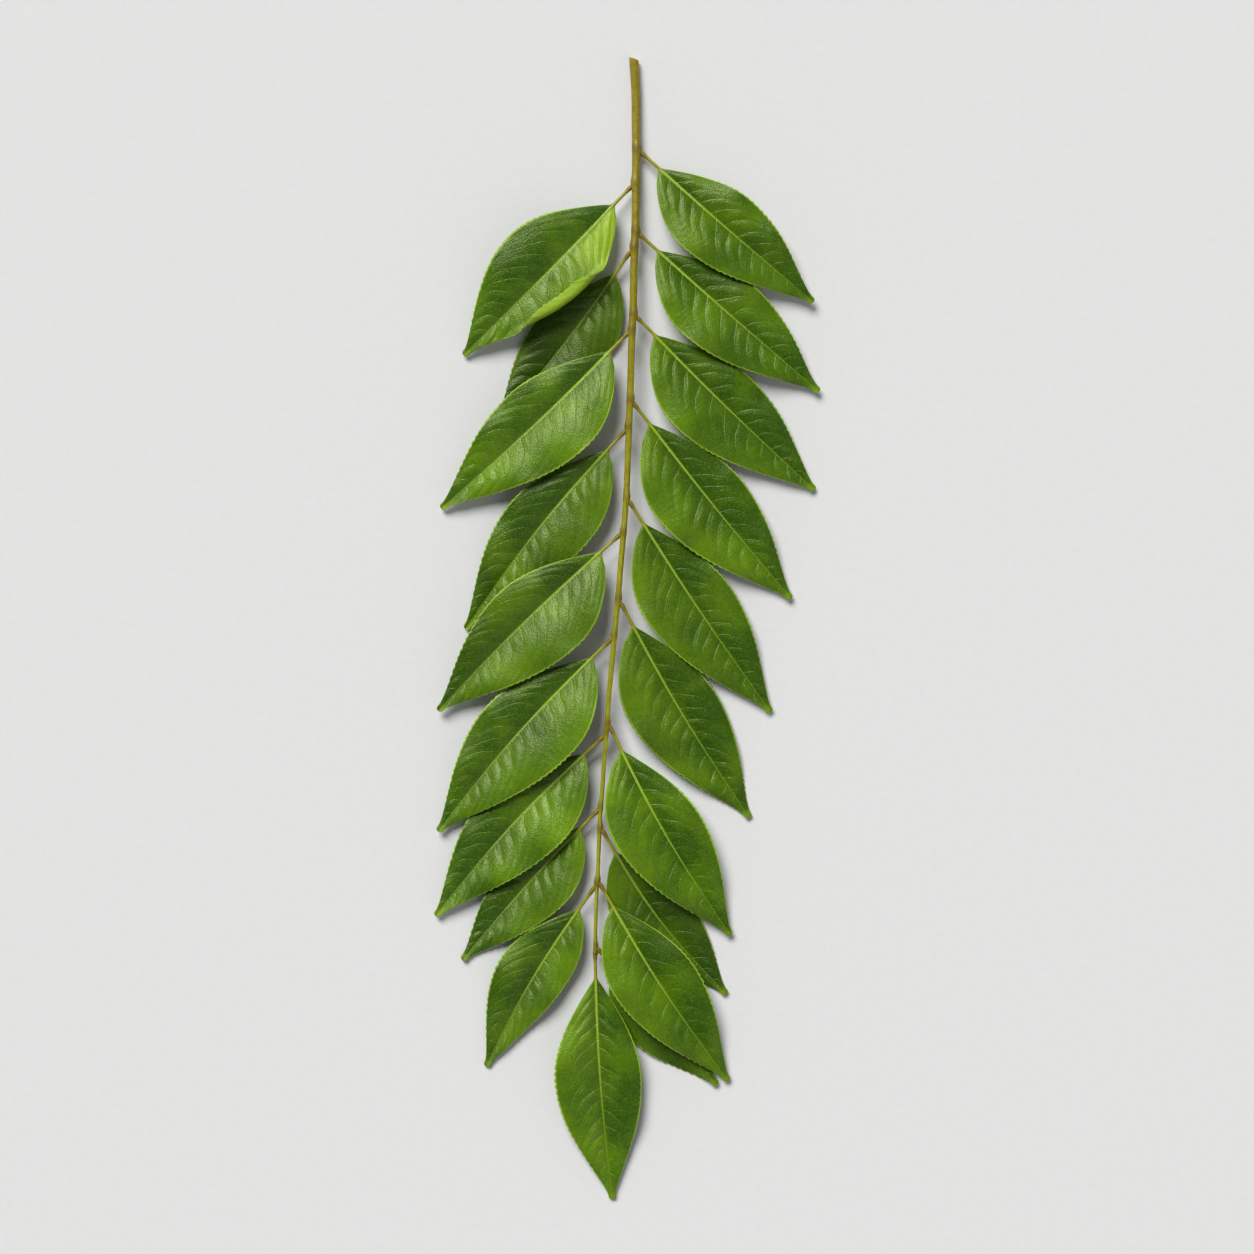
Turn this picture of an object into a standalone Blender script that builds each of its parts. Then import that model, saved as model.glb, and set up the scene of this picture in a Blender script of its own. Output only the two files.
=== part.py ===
"""Curry leaf sprig: one cut leaf of the curry tree, lying flat.

A thin central stalk carries leaflets on both sides and one at its end. Every leaflet is a thin,
keeled blade on a short round stalk. The sprig runs along Y, with its cut end at +Y and its end
leaflet at -Y, and it rests on the plane Z = 0. Sizes below are in millimetres and degrees.
"""

from collections import namedtuple
from math import atan2, cos, hypot, pi, radians, sin

import bmesh
import bpy
from mathutils import Vector

MM = 0.001

# Central stalk: its centre line, from the cut end to the joint of the end leaflet.
STALK_ROUTE = (
    (5.0, 187.0, 0.80),
    (5.3, 176.0, 1.20),
    (5.2, 162.0, 2.10),
    (4.8, 146.0, 3.00),
    (4.2, 128.0, 3.50),
    (3.6, 114.0, 3.60),
    (2.4, 99.0, 3.60),
    (1.2, 86.0, 3.45),
    (0.1, 72.0, 3.15),
    (-0.8, 58.0, 2.80),
    (-1.3, 46.0, 2.45),
    (-1.4, 40.0, 2.30),
)
STALK_RADIUS_CUT = 0.78
STALK_RADIUS_END = 0.28
STALK_STEPS = 3

# Every leaflet.
LEAFLET_STALK = 3.4
LEAFLET_STALK_RADIUS = 0.28
HALF_THICKNESS = 0.21
TIP_HALF_WIDTH = 0.55
WIDEST_INNER = 0.46
SHOULDER_SHIFT = 0.10
SHOULDER_SWELL = 0.22
TAPER = 1.15
CAMBER = 0.07
JOINT_GAP = 0.3
RING_SIDES = 12
RINGS = 15

# One leaflet: where it joins the stalk along Y, the side it grows on (-1 left, 1 right), the angle
# between it and -Y, its length, the half-widths of its side nearer the cut end (inner) and nearer
# the end leaflet (outer), the heights of its midrib halfway and at its tip, the slopes at which its
# two sides rise from the midrib, and how far its midrib bows towards its outer side. A leaflet's
# outer side is fuller at its foot, except on the even end leaflet, whose shoulder is 0.
Leaflet = namedtuple(
    "Leaflet",
    "name joins side heading length inner outer mid_height tip_height inner_slope outer_slope bow"
    " shoulder",
    defaults=(1.0,),
)
LEAFLETS = (
    Leaflet("leaflet_left_1", 166.4, -1, 45, 39.5, 8.6, 6.4, 3.1, 0.8, 0.10, 0.24, 0.3),
    Leaflet("leaflet_left_2", 155.8, -1, 38, 36.0, 6.0, 7.0, 0.6, 0.4, 0.04, 0.08, 0.6),
    Leaflet("leaflet_left_3", 142.2, -1, 47, 42.4, 6.4, 8.6, 3.2, 0.8, 0.10, 0.27, 0.5),
    Leaflet("leaflet_left_4", 126.4, -1, 39, 42.2, 6.2, 7.8, 1.9, 0.4, 0.12, 0.15, -1.0),
    Leaflet("leaflet_left_5", 109.2, -1, 46, 41.8, 6.3, 8.9, 3.3, 1.3, 0.15, 0.25, -0.6),
    Leaflet("leaflet_left_6", 92.2, -1, 42, 42.8, 6.8, 8.7, 2.6, 1.2, 0.06, 0.27, -1.0),
    Leaflet("leaflet_left_7", 76.2, -1, 43, 40.6, 6.5, 7.8, 1.7, 0.9, 0.04, 0.26, -1.0),
    Leaflet("leaflet_left_8", 64.2, -1, 42, 33.6, 4.8, 6.6, 1.1, 0.5, 0.05, 0.25, -0.4),
    Leaflet("leaflet_left_9", 51.8, -1, 31, 35.0, 6.2, 5.2, 1.0, 0.4, 0.08, 0.22, -0.9),
    Leaflet("leaflet_right_1", 172.0, 1, 49, 38.0, 6.0, 7.2, 2.8, 1.4, 0.10, 0.22, 0.3),
    Leaflet("leaflet_right_2", 158.4, 1, 49, 39.5, 6.1, 7.6, 2.3, 1.1, 0.06, 0.23, 0.2),
    Leaflet("leaflet_right_3", 144.8, 1, 46, 41.0, 6.2, 8.3, 1.7, 0.7, 0.04, 0.22, 0.3),
    Leaflet("leaflet_right_4", 130.8, 1, 39, 41.5, 6.2, 8.6, 2.1, 0.9, 0.05, 0.22, 0.3),
    Leaflet("leaflet_right_5", 114.8, 1, 34, 42.0, 6.4, 8.2, 1.8, 0.6, 0.06, 0.21, 0.4),
    Leaflet("leaflet_right_6", 98.2, 1, 31, 41.5, 6.5, 8.1, 1.5, 0.4, 0.05, 0.21, 0.7),
    Leaflet("leaflet_right_7", 78.0, 1, 30, 40.0, 6.5, 7.9, 3.0, 0.8, 0.10, 0.20, 0.9),
    Leaflet("leaflet_right_8", 60.8, 1, 37, 34.0, 5.8, 6.4, 0.5, 0.4, 0.05, 0.06, 1.4),
    Leaflet("leaflet_right_9", 52.2, 1, 33, 39.0, 6.4, 7.2, 2.9, 0.7, 0.10, 0.19, 0.7),
    Leaflet("leaflet_right_10", 41.4, 1, 41, 30.0, 5.0, 5.6, 0.5, 0.4, 0.04, 0.05, 0.3),
    Leaflet("leaflet_tip", 40.0, 1, 4, 40.0, 6.8, 7.4, 1.7, 0.4, 0.13, 0.13, 0.6, 0.0),
)


def clear_scene():
    """Remove whatever the scene holds."""
    for obj in list(bpy.data.objects):
        bpy.data.objects.remove(obj, do_unlink=True)


def material(name, colour, roughness):
    """A plain material with one colour and one roughness."""
    made = bpy.data.materials.new(name)
    made.use_nodes = True
    shader = made.node_tree.nodes["Principled BSDF"]
    shader.inputs["Base Color"].default_value = (*colour, 1.0)
    shader.inputs["Roughness"].default_value = roughness
    shader.inputs["Metallic"].default_value = 0.0
    made.diffuse_color = (*colour, 1.0)
    return made


def between(a, b, share):
    """The value a given share of the way from a to b."""
    return a + (b - a) * share


def curve_point(before, start, end, after, share):
    """A point between start and end on a smooth curve through all four points."""
    one = end - before
    two = 2 * before - 5 * start + 4 * end - after
    three = 3 * start - before - 3 * end + after
    return start + (one * share + two * share**2 + three * share**3) / 2


def stalk_points():
    """Evenly shared points on the smooth centre line through STALK_ROUTE."""
    route = [Vector(point) for point in STALK_ROUTE]
    route = [2 * route[0] - route[1], *route, 2 * route[-1] - route[-2]]
    points = []
    for before, start, end, after in zip(route, route[1:], route[2:], route[3:]):
        for step in range(STALK_STEPS):
            points.append(curve_point(before, start, end, after, step / STALK_STEPS))
    points.append(route[-2])
    return points


def stalk_radius(y):
    """Radius of the central stalk where its centre line is at y."""
    cut_y = STALK_ROUTE[0][1]
    end_y = STALK_ROUTE[-1][1]
    share = (cut_y - y) / (cut_y - end_y)
    return between(STALK_RADIUS_CUT, STALK_RADIUS_END, share**0.8)


def stalk_at(y):
    """The point of the centre line at y, and the line's direction there."""
    points = stalk_points()
    for start, end in zip(points, points[1:]):
        if end.y <= y:
            break
    share = min(1.0, (y - start.y) / (end.y - start.y))
    return start.lerp(end, share), (end - start).normalized()


def make_rachis(collection, finish):
    """The central stalk: a tapered tube with flat ends."""
    curve = bpy.data.curves.new("rachis", "CURVE")
    curve.dimensions = "3D"
    curve.bevel_depth = MM
    curve.bevel_resolution = 2
    curve.use_fill_caps = True
    points = stalk_points()
    spline = curve.splines.new("POLY")
    spline.points.add(len(points) - 1)
    for target, point in zip(spline.points, points):
        target.co = (*(point * MM), 1.0)
        target.radius = stalk_radius(point.y)
    spline.use_smooth = True
    curve.materials.append(finish)
    obj = bpy.data.objects.new("rachis", curve)
    collection.objects.link(obj)
    return obj


def half_width(leaf, along, outer):
    """Width of one side of the blade, where along runs from 0 at its foot to 1 at its tip."""
    shoulder = leaf.shoulder if outer else 0.0
    widest = WIDEST_INNER - SHOULDER_SHIFT * shoulder
    full = leaf.outer if outer else leaf.inner
    if along < widest:
        shape = sin(pi / 2 * (along / widest) ** (1.0 - SHOULDER_SWELL * shoulder))
    else:
        shape = max(0.0, cos(pi / 2 * (along - widest) / (1.0 - widest))) ** TAPER
    return hypot(full * shape, between(LEAFLET_STALK_RADIUS, TIP_HALF_WIDTH, along))


def midrib_height(leaf, foot, share):
    """Height of the midrib: a smooth curve through its heights at the foot, halfway and tip."""
    bend = foot + leaf.tip_height - 2 * leaf.mid_height
    return between(foot, leaf.tip_height, share) - 2 * bend * share * (1 - share)


def leaflet_point(leaf, root, share, across, through):
    """A point of the leaflet's surface.

    share runs along the leaflet from 0 to 1. across and through run from -1 to 1, over the width
    from inner to outer margin and over the thickness from underside to top.
    """
    angle = radians(leaf.heading)
    forward = Vector((leaf.side * sin(angle), -cos(angle), 0.0))
    outward = Vector((-leaf.side * cos(angle), -sin(angle), 0.0))
    length = leaf.length - (root.xy - stalk_at(leaf.joins)[0].xy).length
    foot = LEAFLET_STALK / length
    along = max(0.0, (share - foot) / (1 - foot))
    outer = across > 0
    width = half_width(leaf, along, outer) if along > 0 else LEAFLET_STALK_RADIUS
    thick = LEAFLET_STALK_RADIUS if along <= 0 else HALF_THICKNESS
    slope = leaf.outer_slope if outer else leaf.inner_slope
    reach = width * abs(across)
    rise = (reach * slope + CAMBER * width * sin(pi * abs(across))) if along > 0 else 0.0
    sideways = width * across + leaf.bow * sin(pi * share)
    height = midrib_height(leaf, root.z, share) + rise + thick * through
    place = root + forward * (length * share) + outward * sideways
    return Vector((place.x, place.y, height))


def ring_shares(leaf):
    """Where the rings of a leaflet stand along it: two on its stalk and the rest on its blade."""
    foot = LEAFLET_STALK / leaf.length
    blade = RINGS - 3
    shares = [0.0, foot * 0.95]
    for ring in range(blade + 1):
        even = ring / blade
        eased = (1 - cos(pi * even)) / 2
        shares.append(between(foot, 1.0, between(even, eased, 0.5)))
    return shares


def leaflet_root(leaf):
    """Where the leaflet's stalk starts, just clear of the central stalk."""
    centre, direction = stalk_at(leaf.joins)
    if leaf.name == "leaflet_tip":
        return centre + direction * JOINT_GAP
    turn = radians(leaf.heading)
    lean = turn - leaf.side * atan2(direction.x, -direction.y)
    clear = stalk_radius(leaf.joins) + JOINT_GAP + LEAFLET_STALK_RADIUS * cos(lean)
    return centre + Vector((leaf.side * sin(turn), -cos(turn), 0.0)) * (clear / sin(lean))


def make_leaflet(leaf, collection, finish):
    """One leaflet: a cylinder cut into rings, each of which becomes one section of the leaflet."""
    root = leaflet_root(leaf)
    shares = ring_shares(leaf)
    steps = len(shares) - 1
    shape = bmesh.new()
    bmesh.ops.create_cone(
        shape, cap_ends=True, segments=RING_SIDES, radius1=1.0, radius2=1.0, depth=1.0
    )
    upright = [edge for edge in shape.edges if abs(edge.verts[0].co.z - edge.verts[1].co.z) > 0.5]
    bmesh.ops.subdivide_edges(shape, edges=upright, cuts=steps - 1)
    for vert in shape.verts:
        share = shares[round((vert.co.z + 0.5) * steps)]
        vert.co = leaflet_point(leaf, root, share, vert.co.x, vert.co.y) * MM
    if leaf.side > 0:
        bmesh.ops.reverse_faces(shape, faces=shape.faces)
    mesh = bpy.data.meshes.new(leaf.name)
    shape.to_mesh(mesh)
    shape.free()
    mesh.shade_smooth()
    mesh.materials.append(finish)
    obj = bpy.data.objects.new(leaf.name, mesh)
    collection.objects.link(obj)
    return obj


def solid_points(objects):
    """Every point of the finished objects, as they stand in the scene."""
    graph = bpy.context.evaluated_depsgraph_get()
    points = []
    for obj in objects:
        evaluated = obj.evaluated_get(graph)
        mesh = evaluated.to_mesh()
        points += [evaluated.matrix_world @ vert.co for vert in mesh.vertices]
        evaluated.to_mesh_clear()
    return points


def stand_on_origin(objects, collection):
    """Hang all pieces on one empty that puts the origin at the bottom centre of the sprig."""
    points = solid_points(objects)
    low = Vector([min(point[axis] for point in points) for axis in range(3)])
    high = Vector([max(point[axis] for point in points) for axis in range(3)])
    middle = (low + high) / 2
    base = bpy.data.objects.new("sprig_origin", None)
    base.location = (-middle.x, -middle.y, -low.z)
    collection.objects.link(base)
    for obj in objects:
        obj.parent = base


def main():
    clear_scene()
    collection = bpy.data.collections.new("curry_leaf_sprig")
    bpy.context.scene.collection.children.link(collection)
    objects = [make_rachis(collection, material("rachis", (0.22, 0.17, 0.02), 0.45))]
    for number, leaf in enumerate(LEAFLETS):
        shade = 0.9 + 0.05 * (number % 4)
        colour = (0.055 * shade, 0.14 * shade, 0.006 * shade)
        objects.append(make_leaflet(leaf, collection, material(leaf.name, colour, 0.4)))
    stand_on_origin(objects, collection)


main()
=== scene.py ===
"""Curry leaf sprig: the looks of one cut curry leaf that lies flat on a pale surface.

Each leaflet is a closed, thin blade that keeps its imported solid's measures and springs from the
packed stalk. It has a keeled midrib, lateral veins with pillowed skin between them, a finely
toothed margin and a short stalk.
The central stalk is a tapered tube with a swelling at every joint and a freshly cut end.
"""

from collections import namedtuple
from math import atan2, cos, pi, radians, sin
from random import Random

import bmesh
import bpy
import numpy as np
from bpy.props import FloatProperty, FloatVectorProperty, PointerProperty
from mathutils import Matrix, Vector, noise


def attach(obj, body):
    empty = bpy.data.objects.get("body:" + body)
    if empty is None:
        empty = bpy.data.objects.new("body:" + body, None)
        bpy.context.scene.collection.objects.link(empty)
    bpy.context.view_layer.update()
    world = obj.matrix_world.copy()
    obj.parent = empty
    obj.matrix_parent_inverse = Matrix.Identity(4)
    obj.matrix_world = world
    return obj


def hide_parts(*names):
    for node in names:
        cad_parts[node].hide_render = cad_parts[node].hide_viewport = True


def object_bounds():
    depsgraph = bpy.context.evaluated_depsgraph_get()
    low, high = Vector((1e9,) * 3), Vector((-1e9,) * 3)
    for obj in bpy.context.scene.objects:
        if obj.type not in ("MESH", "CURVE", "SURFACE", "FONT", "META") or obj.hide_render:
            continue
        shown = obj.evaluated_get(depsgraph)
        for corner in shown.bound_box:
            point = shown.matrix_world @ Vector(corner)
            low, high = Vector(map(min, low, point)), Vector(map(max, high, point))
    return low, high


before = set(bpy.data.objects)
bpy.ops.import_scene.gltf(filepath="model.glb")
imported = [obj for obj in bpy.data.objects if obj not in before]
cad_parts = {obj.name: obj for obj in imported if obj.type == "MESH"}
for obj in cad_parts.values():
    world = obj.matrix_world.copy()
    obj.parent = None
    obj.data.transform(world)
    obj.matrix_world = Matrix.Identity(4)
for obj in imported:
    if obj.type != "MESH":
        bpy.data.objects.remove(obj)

bl_info = {
    "name": "Curry Leaf Sprig",
    "version": (1, 0, 0),
    "blender": (4, 5, 0),
    "location": "View3D > Sidebar > Curry Leaf",
    "description": "Builds a cut curry leaf sprig with veined, toothed leaflets",
    "category": "Add Mesh",
}

MM = 0.001
BODY = "root"
STALK_NODE = "rachis"
CAD_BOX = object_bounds()

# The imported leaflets' own measures, in millimetres and degrees: where each joins the central stalk
# (from the end leaflet's tip to the cut end), its side, heading and length, the widths of its two
# halves, the heights of its middle and tip, the slopes of its halves, and how far it bows.
Leaflet = namedtuple(
    "Leaflet",
    "name joins side heading length inner outer mid_height tip_height inner_slope outer_slope bow",
)
LEAFLETS = (
    Leaflet("leaflet_left_1", 166.4, -1, 45, 39.5, 8.6, 6.4, 3.1, 0.8, 0.10, 0.24, 0.3),
    Leaflet("leaflet_left_2", 155.8, -1, 38, 36.0, 6.0, 7.0, 0.6, 0.4, 0.04, 0.08, 0.6),
    Leaflet("leaflet_left_3", 142.2, -1, 47, 42.4, 6.4, 8.6, 3.2, 0.8, 0.10, 0.27, 0.5),
    Leaflet("leaflet_left_4", 126.4, -1, 39, 42.2, 6.2, 7.8, 1.9, 0.4, 0.12, 0.15, -1.0),
    Leaflet("leaflet_left_5", 109.2, -1, 46, 41.8, 6.3, 8.9, 3.3, 1.3, 0.15, 0.25, -0.6),
    Leaflet("leaflet_left_6", 92.2, -1, 42, 42.8, 6.8, 8.7, 2.6, 1.2, 0.06, 0.27, -1.0),
    Leaflet("leaflet_left_7", 76.2, -1, 43, 40.6, 6.5, 7.8, 1.7, 0.9, 0.04, 0.26, -1.0),
    Leaflet("leaflet_left_8", 64.2, -1, 42, 33.6, 4.8, 6.6, 1.1, 0.5, 0.05, 0.25, -0.4),
    Leaflet("leaflet_left_9", 51.8, -1, 31, 35.0, 6.2, 5.2, 1.0, 0.4, 0.08, 0.22, -0.9),
    Leaflet("leaflet_right_1", 172.0, 1, 49, 38.0, 6.0, 7.2, 2.8, 1.4, 0.10, 0.22, 0.3),
    Leaflet("leaflet_right_2", 158.4, 1, 49, 39.5, 6.1, 7.6, 2.3, 1.1, 0.06, 0.23, 0.2),
    Leaflet("leaflet_right_3", 144.8, 1, 46, 41.0, 6.2, 8.3, 1.7, 0.7, 0.04, 0.22, 0.3),
    Leaflet("leaflet_right_4", 130.8, 1, 39, 41.5, 6.2, 8.6, 2.1, 0.9, 0.05, 0.22, 0.3),
    Leaflet("leaflet_right_5", 114.8, 1, 34, 42.0, 6.4, 8.2, 1.8, 0.6, 0.06, 0.21, 0.4),
    Leaflet("leaflet_right_6", 98.2, 1, 31, 41.5, 6.5, 8.1, 1.5, 0.4, 0.05, 0.21, 0.7),
    Leaflet("leaflet_right_7", 78.0, 1, 30, 40.0, 6.5, 7.9, 3.0, 0.8, 0.10, 0.20, 0.9),
    Leaflet("leaflet_right_8", 60.8, 1, 37, 34.0, 5.8, 6.4, 0.5, 0.4, 0.05, 0.06, 1.4),
    Leaflet("leaflet_right_9", 52.2, 1, 33, 39.0, 6.4, 7.2, 2.9, 0.7, 0.10, 0.19, 0.7),
    Leaflet("leaflet_right_10", 41.4, 1, 41, 30.0, 5.0, 5.6, 0.5, 0.4, 0.04, 0.05, 0.3),
    Leaflet("leaflet_tip", 40.0, 1, 4, 40.0, 6.8, 7.4, 1.7, 0.4, 0.13, 0.13, 0.6),
)
CUT_END = 187.0          # where the central stalk ends on the scale of Leaflet.joins
JOINT_GAP = 0.3
LEAFLET_STALK_RADIUS = 0.28
TIP_HALF_WIDTH = 0.60
WIDEST = 0.46            # how far along the blade its inner half is widest
SHOULDER_SHIFT = 0.10    # how much nearer the foot the outer half is widest
SHOULDER_SWELL = 0.22
TAPER = 1.05
CAMBER = 0.07

# Mesh fineness.
BLADE_COLUMNS = 96
BLADE_ROWS = 210
STALK_COLUMNS = 32
STALK_ROW_STEP = 0.35 * MM

# Leaflets whose outer margin is rolled over, with the share of the roll.
ROLLED = {"leaflet_left_1": 1.0}
# Leaflets that lie in the shadow of others, given painted shade: their share of the others' brightness.
PAINTED_SHADE = {"leaflet_left_2": 0.72, "leaflet_right_8": 0.75, "leaflet_right_10": 0.8}
# How far a leaflet's middle lies below its solid's, in millimetres, clear of the leaflet above.
SETTLED = {"leaflet_right_6": 0.4}
ROLL_RADIUS = 0.75 * MM
ROLL_EXTRA = 2.8 * MM
ROLL_FLAP = 3.55 * MM

# Relief of a blade.
VEIN_SWEEP = 0.48        # how far a lateral vein runs towards the tip, for each step outwards
VEIN_CURL = 1.05         # how much further it runs near the margin
INNER_VEIN_SHIFT = 0.45  # how far the inner half's veins are out of step, in vein gaps
RIPPLE_LENGTH = 10.5 * MM
TOOTH_PEAK = 0.72        # the share of a tooth that rises to its point, and the share that falls
TOOTH_FALL = 0.28
STALK_ROWS = 18
TIP_ROWS = 8
TIP_ROUND = 0.5 * MM     # how far the rounded tip stands past the blade
STALK_SINK = 1.3 * MM    # how far a leaflet's stalk reaches back into the central stalk
TIP_STALK_SINK = 0.5 * MM
CUT_SLANT = 0.35

# Scales of the finishes' patterns, in features for each metre.
CLOUD_SCALE = 130.0
MOTTLE_SCALE = 900.0
FLECK_SCALE = 3000.0
NET_SCALE = 2600.0
GRAIN_SCALE = 3800.0
PATCH_SCALE = 260.0
SPOT_SCALE = 1100.0
FIBRE_SCALE = 5200.0
DOT_SCALE = 1500.0
SPECK_SCALE = 6000.0
FLOOR_SCALE = 900.0

# Colours and gloss that are the same on every leaflet.
# Pale green of thin skin. It is also painted as light through the blade and as a highlight at the tips.
THIN_SKIN_AND_HIGHLIGHT = (0.270, 0.420, 0.012, 1.0)
STALK_DARK = (0.200, 0.190, 0.008, 1.0)
STALK_LIGHT = (0.380, 0.370, 0.020, 1.0)
FOOT_BROWN = (0.17, 0.095, 0.014, 1.0)
LEAF_SPECULAR = 0.43
LEAF_SPECULAR_TINT = (0.93, 1.0, 0.58, 1.0)
BARK_SPECULAR_TINT = (1.0, 0.92, 0.6, 1.0)

# The stage.
KEY_PLACE = (-0.55, 1.05, 1.25)
KEY_SPREAD = radians(34)
FILL_PLACE = (1.1, -1.2, 1.4)
FILL_SPREAD = radians(60)
SURROUND_LOW = 0.05      # heights between which the surround fades, on a sphere of radius 1
SURROUND_HIGH = 0.55
SURROUND_COLOUR = (0.96, 0.97, 1.0, 1.0)
FLOOR_HALF_SIZE = 8.0
FLOOR_DROP = 0.05 * MM
CAMERA_NEAR = 0.01
CAMERA_FAR = 30.0


# ---------------------------------------------------------------- settings


def length_setting(name, description, default):
    """A length property in metres."""
    return FloatProperty(
        name=name, description=description, default=default, min=0.0, unit="LENGTH", precision=5
    )


def colour_setting(name, description, default):
    """A colour property."""
    return FloatVectorProperty(
        name=name, description=description, default=default, size=3, min=0.0, max=1.0,
        subtype="COLOR",
    )


class LeafletSettings(bpy.types.PropertyGroup):
    """Sizes and colours of the leaflets."""

    thickness: length_setting("Thickness", "Thickness of the blade", 0.26 * MM)
    stalk_radius: length_setting("Stalk radius", "Radius of a leaflet's own stalk", 0.27 * MM)
    stalk_length: length_setting("Stalk length", "Length of a leaflet's own stalk", 3.4 * MM)
    vein_gap: length_setting("Vein gap", "Distance between lateral veins", 2.7 * MM)
    vein_relief: length_setting("Vein relief", "Height of the skin between the veins", 0.16 * MM)
    tooth_pitch: length_setting("Tooth pitch", "Distance between the margin's teeth", 1.05 * MM)
    tooth_depth: length_setting("Tooth depth", "Depth of the margin's teeth", 0.25 * MM)
    waviness: length_setting("Waviness", "Rise and fall of the margin", 0.28 * MM)
    deep: colour_setting("Deep green", "Darkest green of the blade", (0.024, 0.074, 0.0006))
    light_green: colour_setting("Fresh green", "Lightest green of the blade", (0.130, 0.250, 0.0040))
    vein: colour_setting("Veins", "Colour of the lateral veins", (0.190, 0.320, 0.0200))
    midrib: colour_setting("Midrib", "Colour of the midrib and the stalk", (0.300, 0.430, 0.0350))
    margin: colour_setting("Margin", "Colour of the thin rim of the blade", (0.270, 0.430, 0.0300))
    under: colour_setting("Underside", "Colour of the blade's underside", (0.160, 0.270, 0.0300))


class StalkSettings(bpy.types.PropertyGroup):
    """Sizes and colours of the central stalk."""

    swelling: length_setting("Swelling", "How far the stalk swells at a joint", 0.13 * MM)
    swelling_reach: length_setting("Swelling reach", "Half-length of a swelling", 0.9 * MM)
    young: colour_setting("Young bark", "Colour towards the end leaflet", (0.350, 0.370, 0.0080))
    old: colour_setting("Old bark", "Colour towards the cut end", (0.280, 0.215, 0.0080))
    joint: colour_setting("Joint", "Colour of the joints", (0.140, 0.085, 0.0120))
    pith: colour_setting("Pith", "Colour of the cut face", (0.520, 0.560, 0.300))


class StageSettings(bpy.types.PropertyGroup):
    """Surface, light and camera."""

    frame_height: length_setting("Frame height", "Height of the view on the surface", 0.205)
    lens: FloatProperty(
        name="Lens", description="Focal length of the camera", default=100.0, min=1.0,
        subtype="DISTANCE_CAMERA",
    )
    floor: colour_setting("Surface", "Colour of the surface", (0.73, 0.73, 0.72))
    key_strength: FloatProperty(
        name="Key light", description="Strength of the soft main light", default=3.5, min=0.0
    )
    fill_strength: FloatProperty(
        name="Fill light", description="Strength of the soft fill light", default=0.4, min=0.0
    )
    horizon: FloatProperty(
        name="Horizon", description="Brightness of the surround at the horizon", default=0.82, min=0.0
    )
    overhead: FloatProperty(
        name="Overhead", description="Brightness of the surround overhead", default=0.09, min=0.0
    )


# ---------------------------------------------------------------- small mathematics


def smooth_step(low, high, value):
    """0 below low, 1 above high, and a smooth rise between."""
    share = np.clip((value - low) / (high - low), 0.0, 1.0)
    return share * share * (3 - 2 * share)


def spline(places, values):
    """A smooth curve through values at rising places: the natural cubic spline."""
    x = np.asarray(places, float)
    y = np.asarray(values, float)
    gap = np.diff(x)
    slope = np.diff(y) / gap
    count = len(x)
    system = np.eye(count)
    right = np.zeros(count)
    for i in range(1, count - 1):
        system[i, i - 1 : i + 2] = gap[i - 1], 2 * (gap[i - 1] + gap[i]), gap[i]
        right[i] = 6 * (slope[i] - slope[i - 1])
    bend = np.linalg.solve(system, right)

    def curve(at):
        at = np.clip(np.asarray(at, float), x[0], x[-1])
        i = np.clip(np.searchsorted(x, at) - 1, 0, count - 2)
        left = at - x[i]
        right_side = x[i + 1] - at
        cubic = (bend[i] * right_side**3 + bend[i + 1] * left**3) / (6 * gap[i])
        start = (y[i] / gap[i] - bend[i] * gap[i] / 6) * right_side
        end = (y[i + 1] / gap[i] - bend[i + 1] * gap[i] / 6) * left
        return cubic + start + end

    return curve


def drift(along, across, size, seed):
    """Smooth noise between about -1 and 1 over two distances, with features of a given size."""
    return np.array(
        [noise.noise(Vector((a / size, b / size, seed))) for a, b in zip(along, across)]
    )


# ---------------------------------------------------------------- what the frame says


def packed_points(node):
    """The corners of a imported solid, each once."""
    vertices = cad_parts[node].data.vertices
    points = np.array([vert.co for vert in vertices], float)
    return np.unique(np.round(points, 7), axis=0)


class Stalk:
    """The central stalk as packed: its centre line and radius along Y."""

    def __init__(self):
        points = packed_points(STALK_NODE)
        points = points[np.argsort(points[:, 1])]
        starts = np.flatnonzero(np.diff(points[:, 1]) > MM) + 1
        rings = np.split(points, starts)
        centres = np.array([ring.mean(0) for ring in rings])
        sizes = [np.linalg.norm(ring - middle, axis=1).max() for ring, middle in zip(rings, centres)]
        self.low = centres[0][1]
        self.high = centres[-1][1]
        self.x = spline(centres[:, 1], centres[:, 0])
        self.z = spline(centres[:, 1], centres[:, 2])
        self.radius = spline(centres[:, 1], sizes)

    def at(self, y):
        """The point of the centre line at y, and its direction towards the cut end."""
        step = 0.5 * MM
        ahead = np.array([self.x(y + step), y + step, self.z(y + step)])
        behind = np.array([self.x(y - step), y - step, self.z(y - step)])
        direction = (ahead - behind) / np.linalg.norm(ahead - behind)
        return np.array([float(self.x(y)), y, float(self.z(y))]), direction


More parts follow.
